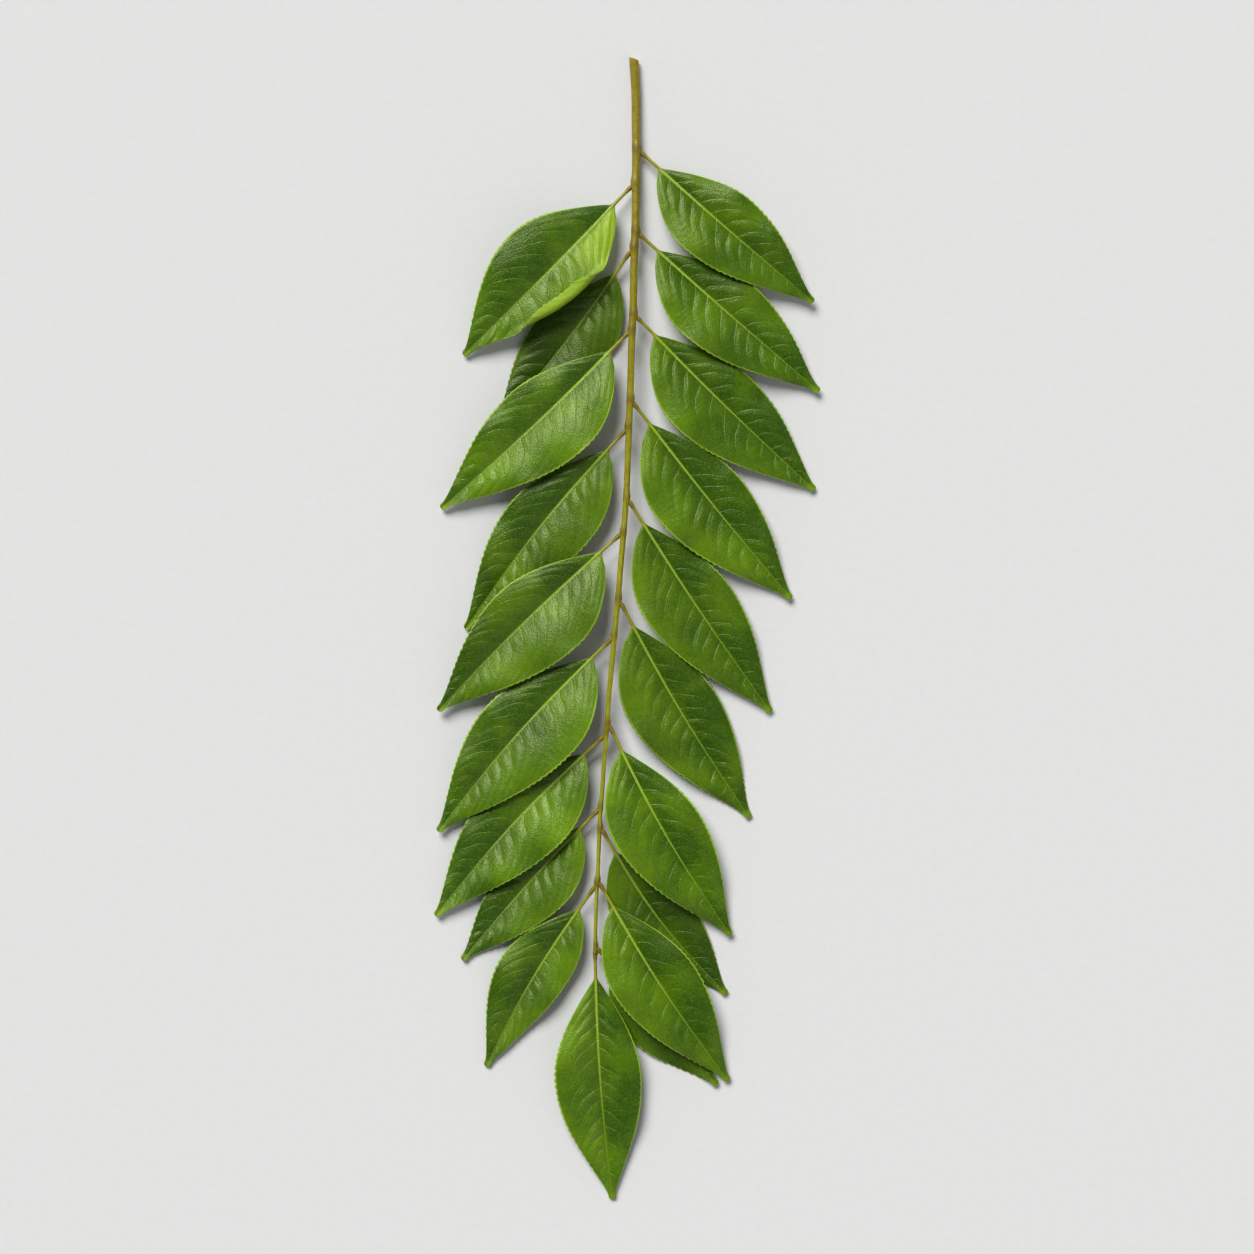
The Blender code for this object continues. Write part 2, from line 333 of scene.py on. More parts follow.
class Blade:
    """One packed leaflet: its foot, its direction, and its plain form from foot to tip."""

    def __init__(self, leaf, stalk):
        self.leaf = leaf
        self.joint = min(leaf.joins * MM + stalk.high - CUT_END * MM, stalk.high)
        self.joint = max(self.joint, stalk.low)
        turn = radians(leaf.heading)
        self.forward = np.array([leaf.side * sin(turn), -cos(turn), 0.0])
        self.outward = np.array([-leaf.side * cos(turn), -sin(turn), 0.0])
        centre, direction = stalk.at(self.joint)
        if leaf.name == "leaflet_tip":
            self.foot = centre - direction * JOINT_GAP * MM
        else:
            lean = turn - leaf.side * atan2(-direction[0], direction[1])
            radius = float(stalk.radius(self.joint)) / MM
            clear = radius + JOINT_GAP + LEAFLET_STALK_RADIUS * cos(lean)
            self.foot = centre + self.forward * (clear / sin(lean)) * MM
        self.length = leaf.length * MM - float(np.linalg.norm((self.foot - centre)[:2]))

    def half_width(self, share, outer):
        """The width of one half at a share of the blade's length."""
        shoulder = 0.0 if self.leaf.name == "leaflet_tip" else 1.0
        share = np.clip(share, 0.0, 1.0)

        def half(full, shoulder):
            widest = WIDEST - SHOULDER_SHIFT * shoulder
            rise = np.sin(pi / 2 * np.minimum(share / widest, 1.0) ** (1 - SHOULDER_SWELL * shoulder))
            fall = np.maximum(np.cos(pi / 2 * (share - widest) / (1 - widest)), 0.0) ** TAPER
            plain = full * np.where(share < widest, rise, fall)
            narrow = LEAFLET_STALK_RADIUS + (TIP_HALF_WIDTH - LEAFLET_STALK_RADIUS) * share
            return np.hypot(plain, narrow) * MM

        return np.where(outer, half(self.leaf.outer, shoulder), half(self.leaf.inner, 0.0))

    def keel_at(self, along):
        """The midrib at a distance along: how far outward and how far up from the foot."""
        share = np.clip(along / self.length, 0.0, 1.0)
        foot = self.foot[2] / MM
        middle = self.leaf.mid_height - SETTLED.get(self.leaf.name, 0.0)
        bend = foot + self.leaf.tip_height - 2 * middle
        rise = (self.leaf.tip_height - foot) * share - 2 * bend * share * (1 - share)
        return self.leaf.bow * MM * np.sin(pi * share), rise * MM


# ---------------------------------------------------------------- meshes


def tube_mesh(columns, rows):
    """A closed cylinder of unit radius and depth, cut into rows."""
    shape = bmesh.new()
    bmesh.ops.create_cone(
        shape, cap_ends=True, segments=columns, radius1=1.0, radius2=1.0, depth=1.0
    )
    upright = [edge for edge in shape.edges if abs(edge.verts[0].co.z - edge.verts[1].co.z) > 0.5]
    bmesh.ops.subdivide_edges(shape, edges=upright, cuts=rows - 1)
    return shape


def places_in(shape, columns, rows):
    """The row, the column and the distance from the axis of every vertex."""
    co = np.array([vert.co for vert in shape.verts])
    row = np.round((co[:, 2] + 0.5) * rows).astype(int)
    column = np.round(np.arctan2(co[:, 1], co[:, 0]) / (2 * pi / columns)).astype(int) % columns
    return row, column, np.hypot(co[:, 0], co[:, 1])


def write_attribute(mesh, name, vectors):
    """Stores one vector for every vertex."""
    attribute = mesh.attributes.new(name, "FLOAT_VECTOR", "POINT")
    attribute.data.foreach_set("vector", np.asarray(vectors, np.float32).ravel())


def finished_piece(name, shape, points, attributes, materials, node):
    """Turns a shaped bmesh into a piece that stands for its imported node."""
    for vert, point in zip(shape.verts, points):
        vert.co = point
    mesh = bpy.data.meshes.new(name)
    shape.to_mesh(mesh)
    shape.free()
    for attribute, vectors in attributes.items():
        write_attribute(mesh, attribute, vectors)
    mesh.shade_smooth()
    for material in materials:
        mesh.materials.append(material)
    piece = bpy.data.objects.new(name, mesh)
    bpy.context.scene.collection.objects.link(piece)
    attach(piece, BODY)
    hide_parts(node)
    return piece


def column_shares():
    """How far across (1 outer margin, -1 inner) and which side (1 top) each column is."""
    half = BLADE_COLUMNS // 2
    step = np.arange(BLADE_COLUMNS)
    across = 1 - 2 * np.minimum(step, BLADE_COLUMNS - step) / half
    bunching = 0.72
    spread = np.abs(across) - bunching * np.sin(2 * pi * np.abs(across)) / (2 * pi)
    face = np.where(step % half == 0, 0.0, np.where(step < half, 1.0, -1.0))
    return np.sign(across) * spread, face


def rolled(distance, width, share):
    """Where a point of the outer half goes when its margin is rolled over: across and up."""
    share = np.maximum(share, 1e-4)
    start = width - ROLL_FLAP * share
    excess = np.maximum(distance - start, 0.0)
    radius = ROLL_RADIUS / share
    turned = np.minimum(excess / radius, pi * 1.02)
    beyond = excess - turned * radius
    across = np.minimum(distance, start) + radius * np.sin(turned) + beyond * np.cos(turned)
    up = radius * (1 - np.cos(turned)) + beyond * np.sin(turned)
    return across, up


def leaflet_points(blade, settings, row, column):
    """Every point of a leaflet, and the maps that its finish reads."""
    name = blade.leaf.name
    draw = Random(name)
    seed = draw.uniform(0, 50)
    gap = settings.vein_gap * draw.uniform(0.92, 1.1)
    wave = settings.waviness * draw.uniform(0.6, 1.3)
    wave_start = draw.uniform(0, 2 * pi)
    spread, face_of = column_shares()
    sink = STALK_SINK if name != "leaflet_tip" else TIP_STALK_SINK
    blade_length = blade.length - settings.stalk_length

    # Rows: the stalk, the blade, and the rounded tip past the last section.
    blade_rows = BLADE_ROWS - STALK_ROWS - TIP_ROWS
    stalk_places = np.linspace(-sink, settings.stalk_length, STALK_ROWS, endpoint=False)
    blade_places = settings.stalk_length + blade_length * np.linspace(0, 1, blade_rows + 1)
    turn = np.linspace(0, 0.96 * pi / 2, TIP_ROWS + 1)[1:]
    tip_places = blade.length + TIP_ROUND * np.sin(turn)
    place_of_row = np.concatenate([stalk_places, blade_places, tip_places])
    tip_shrink = np.concatenate([np.ones(STALK_ROWS + blade_rows + 1), np.cos(turn)])

    along = place_of_row[row]
    angle = column * 2 * pi / BLADE_COLUMNS
    u = spread[column]
    face = face_of[column]
    outer = u >= 0
    from_foot = along - settings.stalk_length
    share = np.clip(from_foot / blade_length, 0, 1)
    reach = np.abs(u)

    # The plain keeled blade.
    keel, keel_z = blade.keel_at(along)
    slope = np.where(outer, blade.leaf.outer_slope, blade.leaf.inner_slope)
    width = blade.half_width(share, outer) * tip_shrink[row]
    distance = reach * width
    climb = distance * slope
    camber = CAMBER * width * np.sin(pi * reach)

    # Lateral veins leave the midrib at an angle and sweep towards the tip.
    sweep = VEIN_SWEEP * distance + VEIN_CURL * distance * reach**2
    wander = 0.32 * drift(from_foot, distance * np.sign(u), 6 * MM, seed)
    wander += 0.16 * drift(from_foot, distance * np.sign(u), 2.2 * MM, seed + 2)
    phase = (from_foot - sweep) / gap + wander + np.where(outer, 0.0, INNER_VEIN_SHIFT)
    between_veins = np.sqrt(np.sin(pi * phase) ** 2 + 0.004)
    away = smooth_step(0.15 * MM, 1.1 * MM, distance)
    fade = away * (1 - 0.85 * smooth_step(0.5, 0.97, reach)) * smooth_step(0.0, 0.10, share)
    fade *= 1 - 0.7 * smooth_step(0.8, 1.0, share)
    strength = 0.80 + 1.3 * drift(from_foot, distance * np.sign(u), 7 * MM, seed + 9)
    strength = np.maximum(strength, 0.15)
    strength = strength * np.where(outer, 1.25, 0.8)
    relief = settings.vein_relief * strength * fade * (between_veins - 0.55)
    ripple = 0.060 * MM * away * drift(phase * gap * 1.5, distance * 0.45, 1.1 * MM, seed + 21)
    buckle = 0.26 * MM * reach * drift(from_foot, distance * np.sign(u), 7 * MM, seed + 33)
    buckle += 0.07 * MM * away * drift(from_foot, distance * np.sign(u), 2.8 * MM, seed + 55)
    ripples = wave * reach**2 * np.sin(2 * pi * from_foot / RIPPLE_LENGTH + wave_start)
    ripples *= smooth_step(0.02, 0.25, share)

    # The midrib: a low rib in a shallow channel above, a stout ridge below.
    taper = 1 - 0.72 * share**0.8
    rib = np.exp(-((distance / (0.22 * MM * taper)) ** 2))
    channel = np.exp(-((distance / (0.75 * MM * taper)) ** 2)) * smooth_step(0.02, 0.15, share)
    top_rib = (0.05 + 0.12 * (1 - share) ** 6) * MM * rib - 0.10 * MM * (1 - 0.8 * share) * channel
    under_rib = (0.05 + 0.17 * (1 - share)) * MM * rib

    # Fine teeth that lean towards the tip.
    margin = np.where(outer, 0.0, 9.0 * MM)
    jitter = 0.35 * drift(from_foot, margin, 3 * MM, seed + 5)
    beat = (from_foot / settings.tooth_pitch + jitter) % 1.0
    rise = np.sin(pi / 2 * beat / TOOTH_PEAK)
    fall = np.cos(pi / 2 * (beat - TOOTH_PEAK) / TOOTH_FALL)
    scallop = np.where(beat < TOOTH_PEAK, rise, fall)
    toothed = smooth_step(0.10, 0.42, share) * (1 - smooth_step(0.86, 0.96, share))
    toothed = toothed * np.where(outer, 1.0, 0.75)
    uneven = np.clip(0.8 + 1.1 * drift(from_foot, margin, 2 * MM, seed + 6), 0.2, 1.4)
    tooth = settings.tooth_depth * toothed * uneven * (scallop - 0.6) * reach**14

    # A rolled margin, where the leaflet has one.
    roll = ROLLED.get(name, 0.0) * smooth_step(0.10, 0.42, share)
    roll = roll * (1 - smooth_step(0.55, 0.98, share)) * outer
    wide = width + ROLL_EXTRA * roll**2
    curled, lift = rolled(reach * wide, wide, roll)
    curled = np.where(roll > 0.01, curled, distance)
    lift = np.where(roll > 0.01, lift, 0.0)

    half_thickness = settings.thickness / 2 * np.sqrt(np.maximum(0.0, 1 - reach**10))
    half_thickness = half_thickness * np.where(share > 0.97, tip_shrink[row] ** 0.5, 1.0)
    facing_up = np.cos(np.minimum(lift / ROLL_RADIUS, 2.0) * pi / 2)
    surface = keel_z + climb + camber + relief + ripple + buckle + ripples + lift
    lowest = settings.thickness / 2 + 0.02 * MM - blade.foot[2]
    surface = np.maximum(surface, lowest)
    top = surface + half_thickness * facing_up + top_rib
    below = surface - half_thickness * facing_up - under_rib
    below = np.maximum(below, -blade.foot[2])
    height = np.where(face > 0, top, np.where(face < 0, below, surface))
    notch = 0.16 * MM * smooth_step(0.985, 1.0, share) * np.exp(-((u / 0.4) ** 2))
    offset = keel + np.where(outer, 1.0, -1.0) * (curled + tooth)

    # The leaflet's own stalk is round, with a swollen foot.
    swollen = 0.11 * MM * np.exp(-(((along + 0.15 * MM) / (0.75 * MM)) ** 2))
    radius = settings.stalk_radius + swollen
    round_offset = keel + radius * np.cos(angle)
    round_height = keel_z + radius * np.sin(angle)
    blend = smooth_step(-0.9 * MM, 1.5 * MM, from_foot)
    offset = round_offset + (offset - round_offset) * blend
    height = round_height + (height - round_height) * blend

    points = blade.foot + np.outer(along - notch, blade.forward) + np.outer(offset, blade.outward)
    points[:, 2] = blade.foot[2] + height
    signed = np.where(outer, 1.0, -1.0) * distance
    vein_map = np.column_stack([from_foot / MM, signed / MM, phase])
    brown = np.exp(-((np.maximum(along, 0) / (0.9 * MM)) ** 2))
    skin_map = np.column_stack([0.5 - 0.5 * face, reach, brown])
    # Painted light and shade: the outer half is lighter towards its margin near the foot, the inner half is
    # darker, and the tip is lighter. The slow drift is the leaflet's own uneven tone.
    light_green = 0.6 * outer * reach**1.5 * (1 - share) ** 1.5
    painted_half_light = np.where(outer, 0.12, -0.16) * smooth_step(0.0, 0.15, reach)
    light_green += painted_half_light + 0.3 * smooth_step(0.92, 1.0, share)
    light_green += 0.30 * drift(from_foot, distance * np.sign(u), 8 * MM, seed + 40)
    # Painted light: the rolled leaflet's outer half near the foot glows as if lit through, and every tip
    # gets a painted highlight. The upturned underside of the roll takes this pale green as its own colour.
    thin = ROLLED.get(name, 0.0) * outer * (1 - smooth_step(0.20, 0.42, share))
    thin = thin * smooth_step(0.02, 0.2, reach)
    thin = np.maximum(thin, smooth_step(0.1, 0.5, roll) * (face < 0) * smooth_step(0.3, 0.6, reach))
    thin = np.maximum(thin, 0.4 * smooth_step(0.965, 1.0, share))
    tint_map = np.column_stack([light_green, thin, share])
    return points, {"vein_map": vein_map, "skin_map": skin_map, "tint_map": tint_map}


def stalk_points(stalk, settings, blades, row, column, ring_share, rows):
    """Every point of the central stalk, and the map that its finish reads."""
    y = stalk.low + (stalk.high - stalk.low) * row / rows
    angle = column * 2 * pi / STALK_COLUMNS
    swell = np.zeros(len(y))
    lean = np.zeros(len(y))
    for blade in blades:
        bump = np.exp(-(((y - blade.joint) / settings.swelling_reach) ** 2))
        swell += settings.swelling * bump
        lean += 0.10 * MM * bump * np.sign(blade.forward[0]) * (abs(blade.forward[0]) > 0.2)
    ridges = 0.02 * MM * np.sin(5 * angle + y / (9 * MM)) + 0.01 * MM * np.sin(11 * angle)
    worn = 0.03 * MM * drift(y, angle * MM, 1.6 * MM, 4.0)
    radius = (stalk.radius(y) + swell + ridges + worn) * ring_share
    sway = 0.10 * MM * drift(y, np.zeros(len(y)), 7 * MM, 8.0)
    x = stalk.x(y) + lean + sway + radius * np.cos(angle)
    z = np.maximum(stalk.z(y) + radius * np.sin(angle), 0.0)
    cut = smooth_step(0.985, 1.0, row / rows)
    y = y - cut * CUT_SLANT * radius * (1 + np.cos(angle)) - (1 - ring_share) * 0.12 * MM
    age = (y - stalk.low) / (stalk.high - stalk.low)
    bark_map = np.column_stack([age, np.minimum(swell / settings.swelling, 1.0), cut])
    return np.column_stack([x, y, z]), {"bark_map": bark_map}


# ---------------------------------------------------------------- finishes


class Finish:
    """One material's node tree, built a node at a time."""

    def __init__(self, name):
        self.material = bpy.data.materials.new(name)
        self.material.use_nodes = True
        self.tree = self.material.node_tree
        self.shader = self.tree.nodes["Principled BSDF"]

    def node(self, kind, inputs=None, **settings):
        """Adds a node, sets its settings, and links or sets its inputs."""
        made = self.tree.nodes.new(kind)
        for key, value in settings.items():
            setattr(made, key, value)
        for key, value in (inputs or {}).items():
            self.feed(made.inputs[key], value)
        return made

    def feed(self, socket, value):
        """Links a socket to another, or sets it to a value."""
        if isinstance(value, bpy.types.NodeSocket):
            self.tree.links.new(value, socket)
        else:
            socket.default_value = value

    def maths(self, operation, a, b=0.0, clamp=False):
        """The result of one sum."""
        made = self.node("ShaderNodeMath", {0: a, 1: b}, operation=operation, use_clamp=clamp)
        return made.outputs[0]

    def ramp(self, value, low, high, start=0.0, end=1.0):
        """A smooth rise from start to end as value goes from low to high."""
        made = self.node(
            "ShaderNodeMapRange",
            {"Value": value, "From Min": low, "From Max": high, "To Min": start, "To Max": end},
            interpolation_type="SMOOTHSTEP",
        )
        return made.outputs["Result"]

    def blend(self, share, a, b, blend_type="MIX"):
        """One colour laid over another."""
        made = self.node(
            "ShaderNodeMix", {0: share, 6: a, 7: b}, data_type="RGBA", blend_type=blend_type
        )
        return made.outputs[2]

    def noise(self, vector, scale, detail=2.0, roughness=0.5):
        """Noise between 0 and 1."""
        made = self.node(
            "ShaderNodeTexNoise",
            {"Vector": vector, "Scale": scale, "Detail": detail, "Roughness": roughness},
        )
        return made.outputs["Fac"]

    def vector(self, x, y, z=0.0):
        """A vector from three numbers."""
        return self.node("ShaderNodeCombineXYZ", {0: x, 1: y, 2: z}).outputs[0]

    def attribute(self, name):
        """The three numbers of an attribute."""
        found = self.node("ShaderNodeAttribute", attribute_name=name)
        parts = self.node("ShaderNodeSeparateXYZ", {0: found.outputs["Vector"]})
        return parts.outputs[0], parts.outputs[1], parts.outputs[2]

    def place(self, shift=(0.0, 0.0, 0.0)):
        """Object coordinates, shifted."""
        coordinates = self.node("ShaderNodeTexCoord").outputs["Object"]
        return self.node("ShaderNodeMapping", {"Vector": coordinates, "Location": shift}).outputs[0]

    def bump(self, height, distance, strength=1.0, normal=None):
        """Fine relief."""
        made = self.node(
            "ShaderNodeBump", {"Height": height, "Distance": distance, "Strength": strength}
        )
        if normal is not None:
            self.feed(made.inputs["Normal"], normal)
        return made.outputs["Normal"]


def shaded(colour, factor):
    """A colour made lighter or darker, with full opacity."""
    return (*(min(1.0, part * factor) for part in colour), 1.0)


def leaf_finish(name, settings, tone_and_shade, seed):
    """Waxy leaf skin: mottled green, paler veins, a bright rim of painted light, a duller, paler underside,
    and painted light and shade on the halves, the tips and the leaflets under others.
    """
    finish = Finish(name)
    along, across, phase = finish.attribute("vein_map")
    under, reach, brown = finish.attribute("skin_map")
    light_green, thin, share = finish.attribute("tint_map")
    place = finish.place((seed * 0.37, seed * 0.11, seed * 0.05))

    # Blade: broad clouds, small mottles, and a lighter green by the veins and the margin, with painted
    # light and shade: lighter outer halves and tips, darker inner halves.
    clouds = finish.noise(place, CLOUD_SCALE, 2.0, 0.5)
    mottles = finish.noise(place, MOTTLE_SCALE, 3.0, 0.6)
    light_green_share = finish.ramp(clouds, 0.30, 0.75)
    light_green_share = finish.maths("ADD", light_green_share, finish.maths("MULTIPLY", mottles, 0.5))
    light_green_share = finish.maths("SUBTRACT", light_green_share, 0.25, clamp=True)
    # The mesh's tint map adds painted light and shade here: lighter outer halves and tips, darker inner
    # halves.
    light_green_share = finish.maths("ADD", finish.maths("MULTIPLY", light_green_share, 0.6), light_green, clamp=True)
    blade = finish.blend(light_green_share, shaded(settings.deep, tone_and_shade), shaded(settings.light_green, tone_and_shade))
    flecks = finish.noise(place, FLECK_SCALE, 2.0, 0.6)
    pale_flecks = finish.ramp(flecks, 0.50, 0.72, 0.0, 0.30)
    blade = finish.blend(pale_flecks, blade, shaded(settings.light_green, 1.15 * tone_and_shade))
    dark_flecks = finish.ramp(flecks, 0.28, 0.48, 0.35, 0.0)
    blade = finish.blend(dark_flecks, blade, shaded(settings.deep, 0.7 * tone_and_shade))

    # Lateral veins, finer veins between them, and the net of the smallest ones.
    nearest = finish.maths("PINGPONG", phase, 0.5)
    distance = finish.maths("ABSOLUTE", across)
    lateral = finish.ramp(nearest, 0.0, 0.035, 1.0, 0.0)
    lateral = finish.maths("MULTIPLY", lateral, finish.ramp(reach, 0.45, 0.95, 0.22, 0.03))
    blade = finish.blend(lateral, blade, shaded(settings.vein, tone_and_shade))
    fine_place = finish.vector(
        finish.maths("MULTIPLY", phase, 6.0), finish.maths("MULTIPLY", distance, 0.9), seed
    )
    fine = finish.noise(fine_place, 1.0, 2.0, 0.55)
    blade = finish.blend(finish.ramp(fine, 0.52, 0.75, 0.0, 0.12), blade, shaded(settings.vein, 0.8 * tone_and_shade))
    net = finish.node(
        "ShaderNodeTexVoronoi", {"Vector": place, "Scale": NET_SCALE}, feature="DISTANCE_TO_EDGE"
    ).outputs["Distance"]
    blade = finish.blend(finish.ramp(net, 0.0, 0.09, 0.12, 0.0), blade, shaded(settings.vein, tone_and_shade))

    # Midrib, rim, underside and stalk.
    rib_width = finish.maths("MULTIPLY_ADD", share, -0.15)
    rib_width.node.inputs[2].default_value = 0.21
    rib = finish.ramp(finish.maths("DIVIDE", distance, rib_width), 0.75, 1.15, 1.0, 0.0)
    rib_colour = finish.blend(
        finish.ramp(share, 0.0, 0.8, 0.1, 0.9),
        shaded(settings.midrib, tone_and_shade),
        shaded(settings.vein, tone_and_shade),
    )
    # Painted light: the margin is drawn as a bright rim, the glow of light through the thin edge.
    edge = finish.ramp(reach, 0.950, 0.978)
    edge = finish.maths("MULTIPLY", edge, finish.ramp(clouds, 0.2, 0.6, 0.55, 1.0))
    blade = finish.blend(edge, blade, shaded(settings.margin, tone_and_shade))
    pale = finish.blend(
        finish.maths("MULTIPLY", lateral, 0.6),
        shaded(settings.under, tone_and_shade),
        shaded(settings.vein, tone_and_shade),
    )
    blade = finish.blend(finish.ramp(under, 0.45, 0.75), blade, pale)
    # Pale thin skin: painted light through the rolled leaflet's blade, a painted highlight at the tip, and
    # the roll's upturned underside.
    blade = finish.blend(finish.maths("MULTIPLY", thin, 0.8), blade, THIN_SKIN_AND_HIGHLIGHT)
    rib = finish.maths("MULTIPLY", rib, finish.ramp(share, 0.25, 1.0, 1.0, 0.35))
    blade = finish.blend(rib, blade, rib_colour)
    on_stalk = finish.ramp(along, -0.4, 1.2, 1.0, 0.0)
    stalk_colour = finish.blend(mottles, STALK_DARK, STALK_LIGHT)
    blade = finish.blend(on_stalk, blade, stalk_colour)
    blade = finish.blend(finish.maths("MULTIPLY", brown, 0.75), blade, FOOT_BROWN)
    finish.feed(finish.shader.inputs["Base Color"], blade)

    # Waxy gloss above, dull below, broken up by the grain of the skin.
    grain = finish.noise(place, GRAIN_SCALE, 2.0, 0.6)
    rough = finish.ramp(clouds, 0.25, 0.75, 0.30, 0.22)
    rough = finish.maths("ADD", rough, finish.maths("MULTIPLY", grain, 0.14))
    rough = finish.maths("ADD", rough, finish.ramp(under, 0.45, 0.75, 0.0, 0.2), clamp=True)
    finish.feed(finish.shader.inputs["Roughness"], rough)
    finish.shader.inputs["Specular IOR Level"].default_value = LEAF_SPECULAR
    finish.shader.inputs["Specular Tint"].default_value = LEAF_SPECULAR_TINT
    groove = finish.ramp(nearest, 0.0, 0.07, 0.0, finish.ramp(reach, 0.4, 0.95, 0.45, 0.1))
    folds = finish.maths("ADD", finish.maths("MULTIPLY", fine, 0.6), groove)
    coarse = finish.bump(folds, 0.12 * MM, 0.7)
    skin = finish.bump(finish.maths("ADD", grain, net), 0.050 * MM, 0.9, coarse)
    finish.feed(finish.shader.inputs["Normal"], skin)
    return finish.material


def bark_finish(settings):
    """Smooth young bark: yellow-green at the tip, browner towards the cut, brown at joints."""
    finish = Finish("stalk_bark")
    age, joint, cut = finish.attribute("bark_map")
    place = finish.place()
    stretched = finish.node("ShaderNodeMapping", {"Vector": place, "Scale": (1.0, 0.10, 1.0)})
    fibres = finish.noise(stretched.outputs[0], FIBRE_SCALE, 4.0, 0.65)
    patches = finish.noise(place, PATCH_SCALE, 2.0, 0.6)
    spots = finish.noise(place, SPOT_SCALE, 3.0, 0.65)
    ageing = finish.maths("ADD", finish.ramp(age, 0.1, 1.0), finish.maths("MULTIPLY", patches, 0.6))
    ageing = finish.maths("SUBTRACT", ageing, 0.30, clamp=True)
    bark = finish.blend(ageing, shaded(settings.young, 1.0), shaded(settings.old, 1.0))
    bark = finish.blend(finish.ramp(fibres, 0.36, 0.66, 0.0, 0.60), bark, shaded(settings.old, 0.55))
    browned = finish.maths(
        "MULTIPLY", finish.ramp(spots, 0.52, 0.70), finish.ramp(age, 0.2, 1.0, 0.10, 0.65)
    )
    bark = finish.blend(browned, bark, shaded(settings.joint, 0.75))
    at_joint = finish.maths("MULTIPLY", joint, finish.ramp(patches, 0.25, 0.7, 0.35, 0.85))
    bark = finish.blend(at_joint, bark, shaded(settings.joint, 1.0))
    dots = finish.node("ShaderNodeTexVoronoi", {"Vector": place, "Scale": DOT_SCALE})
    dots = finish.ramp(dots.outputs["Distance"], 0.14, 0.24, 0.22, 0.0)
    bark = finish.blend(dots, bark, shaded(settings.young, 1.35))
    finish.feed(finish.shader.inputs["Base Color"], bark)
    rough = finish.ramp(fibres, 0.3, 0.7, 0.30, 0.50)
    finish.shader.inputs["Specular Tint"].default_value = BARK_SPECULAR_TINT
    finish.feed(finish.shader.inputs["Roughness"], rough)
    lumps = finish.bump(spots, 0.06 * MM, 0.5)
    finish.feed(finish.shader.inputs["Normal"], finish.bump(fibres, 0.06 * MM, 0.9, lumps))
    return finish.material


def pith_finish(settings):
    """The cut face: pale moist pith with darker specks."""
    finish = Finish("stalk_pith")
    place = finish.place()
    specks = finish.noise(place, SPECK_SCALE, 3.0, 0.7)
    colour = finish.blend(
        finish.ramp(specks, 0.4, 0.7), shaded(settings.pith, 1.0), shaded(settings.pith, 0.5)
    )
    finish.feed(finish.shader.inputs["Base Color"], colour)
    finish.feed(finish.shader.inputs["Roughness"], finish.ramp(specks, 0.3, 0.7, 0.45, 0.65))
    finish.feed(finish.shader.inputs["Normal"], finish.bump(specks, 0.02 * MM, 0.6))
    return finish.material


def floor_finish(settings):
    """A plain pale matt surface."""
    finish = Finish("surface")
    grain = finish.noise(finish.place(), FLOOR_SCALE, 3.0, 0.6)
    colour = finish.blend(
        finish.ramp(grain, 0.3, 0.7, 0.0, 0.5),
        shaded(settings.floor, 1.0),
        shaded(settings.floor, 0.96),
    )
    finish.feed(finish.shader.inputs["Base Color"], colour)
    finish.feed(finish.shader.inputs["Roughness"], finish.ramp(grain, 0.3, 0.7, 0.75, 0.85))
    return finish.material


# ---------------------------------------------------------------- operators


class CURRYLEAF_OT_leaflets(bpy.types.Operator):
    """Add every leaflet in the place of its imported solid"""

    bl_idname = "curry_leaf.leaflets"
    bl_label = "Add Leaflets"

    def execute(self, context):
        settings = context.scene.curry_leaflets
        stalk = Stalk()
        for number, leaf in enumerate(LEAFLETS):
            node = leaf.name
            blade = Blade(leaf, stalk)
            shape = tube_mesh(BLADE_COLUMNS, BLADE_ROWS)
            row, column, _ = places_in(shape, BLADE_COLUMNS, BLADE_ROWS)
            points, maps = leaflet_points(blade, settings, row, column)
            if leaf.side > 0:
                bmesh.ops.reverse_faces(shape, faces=shape.faces)
            # Tone differs at random between leaflets; the leaflets listed for painted shade are painted
            # darker instead.
            tone_and_shade = PAINTED_SHADE.get(node, 0.92 + 0.16 * Random(number).random())
            skin = leaf_finish(f"{node}_skin", settings, tone_and_shade, number)
            finished_piece(f"{node}_blade", shape, points, maps, [skin], node)
        return {"FINISHED"}


class CURRYLEAF_OT_stalk(bpy.types.Operator):
    """Add the central stalk, swollen where each leaflet joins it"""

    bl_idname = "curry_leaf.stalk"
    bl_label = "Add Central Stalk"

    def execute(self, context):
        settings = context.scene.curry_stalk
        stalk = Stalk()
        blades = [Blade(leaf, stalk) for leaf in LEAFLETS]
        rows = int((stalk.high - stalk.low) / STALK_ROW_STEP)
        shape = tube_mesh(STALK_COLUMNS, rows)
        ends = [face for face in shape.faces if len(face.verts) > 4]
        cap = max(ends, key=lambda face: face.calc_center_median().z)
        bmesh.ops.inset_region(shape, faces=[cap], thickness=0.18, use_even_offset=True)
        cap.material_index = 1
        row, column, ring_share = places_in(shape, STALK_COLUMNS, rows)
        points, maps = stalk_points(stalk, settings, blades, row, column, ring_share, rows)
        bmesh.ops.reverse_faces(shape, faces=shape.faces)
        finishes = [bark_finish(settings), pith_finish(settings)]
        finished_piece("central_stalk", shape, points, maps, finishes, STALK_NODE)
        return {"FINISHED"}


